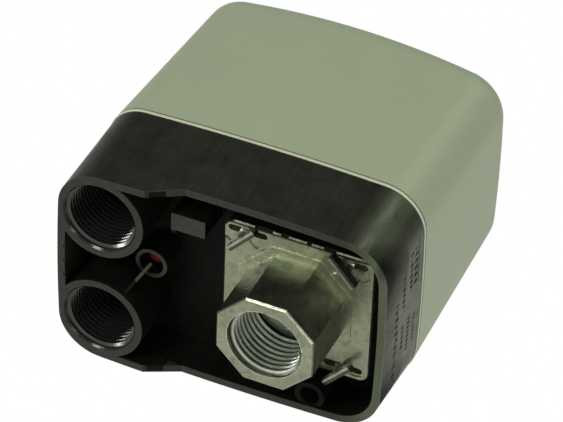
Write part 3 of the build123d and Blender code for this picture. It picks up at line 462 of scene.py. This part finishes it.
for part in frame["record"]["subparts"]:
    mesh = frame["nodes"][part["node"]].data
    for index in range(max(1, len(mesh.materials))):
        if mesh.materials:
            mesh.materials[index] = finishes[part["material_slot"]]
        else:
            mesh.materials.append(finishes[part["material_slot"]])


# ---------------------------------------------------------------- modelling helpers
def place_piece(piece, name, body, slot):
    """Names a finished piece, gives it its finish and lets it ride on its body."""
    piece.name = name
    piece.data.name = name
    piece.data.materials.clear()
    piece.data.materials.append(finishes[slot])
    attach(piece, body)
    return piece


def alone(piece):
    """Makes one object the only selected and active one."""
    bpy.ops.object.select_all(action="DESELECT")
    piece.select_set(True)
    bpy.context.view_layer.objects.active = piece


def apply_place(piece):
    alone(piece)
    bpy.ops.object.transform_apply(location=True, rotation=True, scale=True)


def tidy_mesh(piece):
    """Merges doubles, then turns all faces outwards."""
    alone(piece)
    bpy.ops.object.mode_set(mode="EDIT")
    bpy.ops.mesh.select_all(action="SELECT")
    bpy.ops.mesh.remove_doubles(threshold=1e-6)
    bpy.ops.mesh.normals_make_consistent(inside=False)
    bpy.ops.object.mode_set(mode="OBJECT")


def thread_ridge(centre, root, crest, pitch, low, high):
    """Helical ridge of an inside thread, between two heights, sunk a little into its wall."""
    bpy.ops.object.select_all(action="DESELECT")
    bpy.ops.mesh.primitive_circle_add(vertices=4, radius=pitch / 2, fill_type="NGON",
                                      rotation=(math.pi / 2, 0, 0))
    ridge = bpy.context.object
    apply_place(ridge)
    sunk = root + 0.12 * MM
    corners = [(sunk, -0.36), (crest, -0.13), (crest, 0.13), (sunk, 0.36)]
    for vertex, (radius, share) in zip(ridge.data.vertices, corners):
        vertex.co = (radius, 0, low + share * pitch)
    turns = (high - low) / pitch
    screw = ridge.modifiers.new("helix", "SCREW")
    screw.axis = "Z"
    screw.steps = screw.render_steps = 72
    screw.angle = math.tau
    screw.screw_offset = pitch
    screw.iterations = max(1, round(turns))
    screw.use_merge_vertices = False
    bpy.ops.object.modifier_apply(modifier=screw.name)
    ridge.location = centre
    apply_place(ridge)
    tidy_mesh(ridge)
    bpy.ops.object.shade_smooth_by_angle(angle=math.radians(35))
    return ridge


record = frame["record"]
mounts = {mount["name"]: mount for mount in record["mounts"]}


def add_threads():
    port = mounts["pressure_port"]
    root = port["dims"]["r_mm"] * MM
    ridge = thread_ridge(port["pos_m"], root, root - 1.10 * MM, 1.814 * MM, 1.3 * MM, 15.8 * MM)
    place_piece(ridge, "port_thread", "chassis", "cast_zinc")
    for name in ("cable_entry_a", "cable_entry_b"):
        entry = mounts[name]
        root = entry["dims"]["r_mm"] * MM
        ridge = thread_ridge(entry["pos_m"], root, root - 0.85 * MM, 1.5 * MM, 0.8 * MM, 17.3 * MM)
        place_piece(ridge, name + "_thread", "chassis", "black_plastic")


add_threads()


# ---------------------------------------------------------------- stage, light and camera
def add_stage():
    bpy.ops.object.select_all(action="DESELECT")
    bpy.ops.mesh.primitive_plane_add(size=14, location=(0, 0, -1.3))
    floor = bpy.context.object
    floor.name = "floor"
    f = Finish("floor_white")
    tone = f.noise(3, 3, 0.5)
    f.set(Base_Color=f.blend(tone, (0.80, 0.80, 0.79), (0.84, 0.84, 0.83)), Roughness=0.6 + tone * 0.1)
    floor.data.materials.append(f.material)


def area_light(name, power, size, place, target, tint=(1, 1, 1)):
    data = bpy.data.lights.new(name, "AREA")
    data.energy = power
    data.shape = "RECTANGLE"
    data.size, data.size_y = size
    data.color = tint
    light = bpy.data.objects.new(name, data)
    bpy.context.scene.collection.objects.link(light)
    light.location = place
    light.rotation_euler = (Vector(target) - Vector(place)).to_track_quat("-Z", "Y").to_euler()
    light.visible_camera = False
    return light


def add_world():
    """White surroundings, whose light is strongest from +Y and +Z."""
    world = bpy.data.worlds.new("studio")
    world.use_nodes = True
    bpy.context.scene.world = world
    tree = world.node_tree
    tree.nodes.clear()
    output = tree.nodes.new("ShaderNodeOutputWorld")
    seen = tree.nodes.new("ShaderNodeBackground")
    lit = tree.nodes.new("ShaderNodeBackground")
    path = tree.nodes.new("ShaderNodeLightPath")
    mix = tree.nodes.new("ShaderNodeMixShader")
    place = tree.nodes.new("ShaderNodeTexCoord")
    facing = tree.nodes.new("ShaderNodeVectorMath")
    facing.operation = "DOT_PRODUCT"
    facing.inputs[1].default_value = (0.0, 0.85, 0.53)
    ramp = tree.nodes.new("ShaderNodeMapRange")
    ramp.interpolation_type = "SMOOTHSTEP"
    ramp.inputs["From Min"].default_value = -0.3
    ramp.inputs["From Max"].default_value = 0.9
    ramp.inputs["To Min"].default_value = 0.06
    ramp.inputs["To Max"].default_value = 0.72
    seen.inputs["Color"].default_value = (1, 1, 1, 1)
    lit.inputs["Color"].default_value = (0.98, 1.0, 0.90, 1)
    tree.links.new(place.outputs["Generated"], facing.inputs[0])
    tree.links.new(facing.outputs["Value"], ramp.inputs["Value"])
    tree.links.new(ramp.outputs[0], lit.inputs["Strength"])
    tree.links.new(path.outputs["Is Camera Ray"], mix.inputs[0])
    tree.links.new(lit.outputs[0], mix.inputs[1])
    tree.links.new(seen.outputs[0], mix.inputs[2])
    tree.links.new(mix.outputs[0], output.inputs[0])


def add_camera():
    """Long lens, below and in front of the switch, tilted so that the long side runs across the frame."""
    data = bpy.data.cameras.new("camera")
    data.sensor_width = 36
    data.lens = 230.2
    data.clip_start, data.clip_end = 0.05, 20
    camera = bpy.data.objects.new("camera", data)
    bpy.context.scene.collection.objects.link(camera)
    look = Vector((-0.2977, 0.6366, 0.7115)).normalized()
    up = Vector((-0.2846, -0.7705, 0.5704))
    across = look.cross(up).normalized()
    up = across.cross(look)
    turn = Matrix((across, up, -look)).transposed().to_4x4()
    camera.matrix_world = Matrix.Translation((0.2660, -0.6072, -0.6280)) @ turn
    bpy.context.scene.camera = camera


add_stage()
add_world()
warm = (0.98, 1.0, 0.88)
target = (0, 0, 0.04)
area_light("key", 7.5, (0.35, 0.45), (-0.375, -0.93, -0.75), target, warm)
area_light("low_fill", 1.1, (0.9, 0.9), (-0.4, 0.75, -0.95), target, warm)
area_light("corner_softbox", 2.9, (0.35, 0.8), (0.36, -0.77, 0.89), target, (0.92, 1.0, 0.76))
area_light("end_fill", 1.9, (0.8, 0.8), (1.2, 0.3, -0.2), target, warm)
area_light("chamfer_light", 1.1, (0.22, 0.22), (0.80, -0.40, -0.80), target, (1.0, 0.97, 0.82))
area_light("bore_light", 1.5, (0.20, 0.20), (0.32, -0.33, -1.1), target, (0.95, 0.98, 1.0))
area_light("thread_light", 1.6, (0.20, 0.20), (-0.78, 0.24, -0.72), target, (0.95, 1.0, 0.95))
add_camera()
bpy.context.scene.view_settings.view_transform = "Standard"
